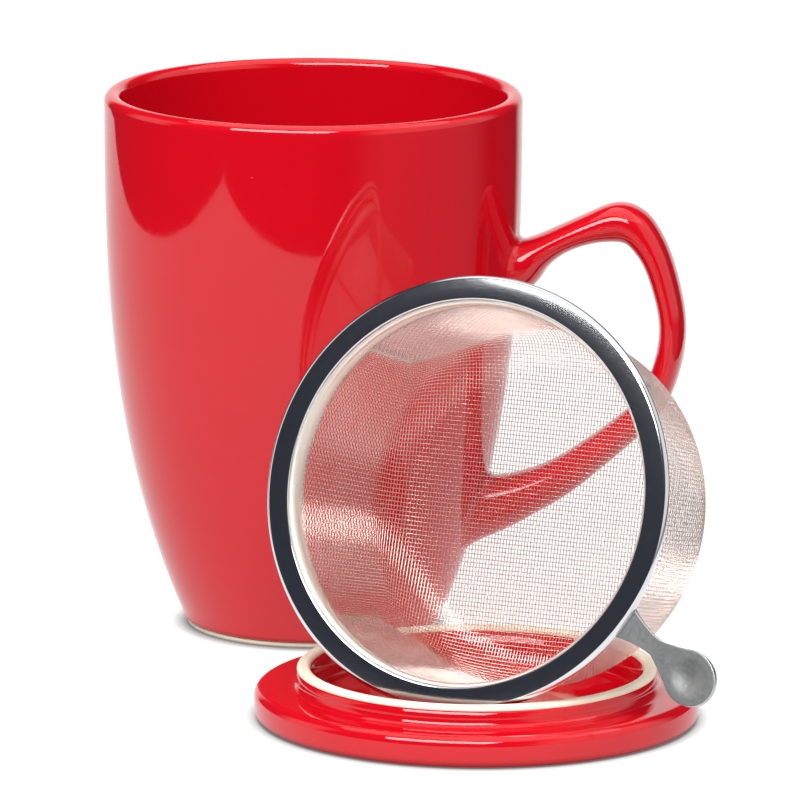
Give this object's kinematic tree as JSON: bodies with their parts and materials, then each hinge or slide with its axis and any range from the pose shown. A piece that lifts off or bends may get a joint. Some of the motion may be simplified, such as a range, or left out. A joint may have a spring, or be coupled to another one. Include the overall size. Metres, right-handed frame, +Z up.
{
  "type": "lidded tea mug with infuser",
  "caption": "Glazed stoneware tea mug with a strap handle, a loose plug lid lying upside down before it, and a lift-out steel mesh infuser leaning in the lid.",
  "frame": {"origin": "centre of the mug's foot ring, in the plane of the table", "axes": "+Z up along the mug's axis; -Y towards the front, where the lid lies; +X towards the side of the handle"},
  "size_m": [0.1269, 0.1795, 0.114],
  "materials": {
    "glaze": "gloss",
    "clay": "matte",
    "steel": "satin",
    "mesh": "satin"
  },
  "bodies": {
    "mug": {"mug_body": "glaze", "mug_foot_ring": "clay", "mug_handle": "glaze"},
    "lid": {"lid_plate": "glaze", "lid_plug_ring": "glaze", "lid_bare_edge": "clay"},
    "infuser": {"infuser_rim": "steel", "infuser_collar": "steel", "mesh_uprights": "mesh", "mesh_hoops": "mesh", "mesh_corners": "mesh", "mesh_floor_warp": "mesh", "mesh_floor_weft": "mesh", "infuser_tab": "steel"}
  },
  "joints": [
    {"name": "lid_lift", "type": "slide", "parent": "mug", "child": "lid", "axis": [0, 0, 1], "range_m": [0, 0.13]},
    {"name": "infuser_lift", "type": "slide", "parent": "lid", "child": "infuser", "axis": [0, 0, 1], "range_m": [0, 0.13]}
  ]
}
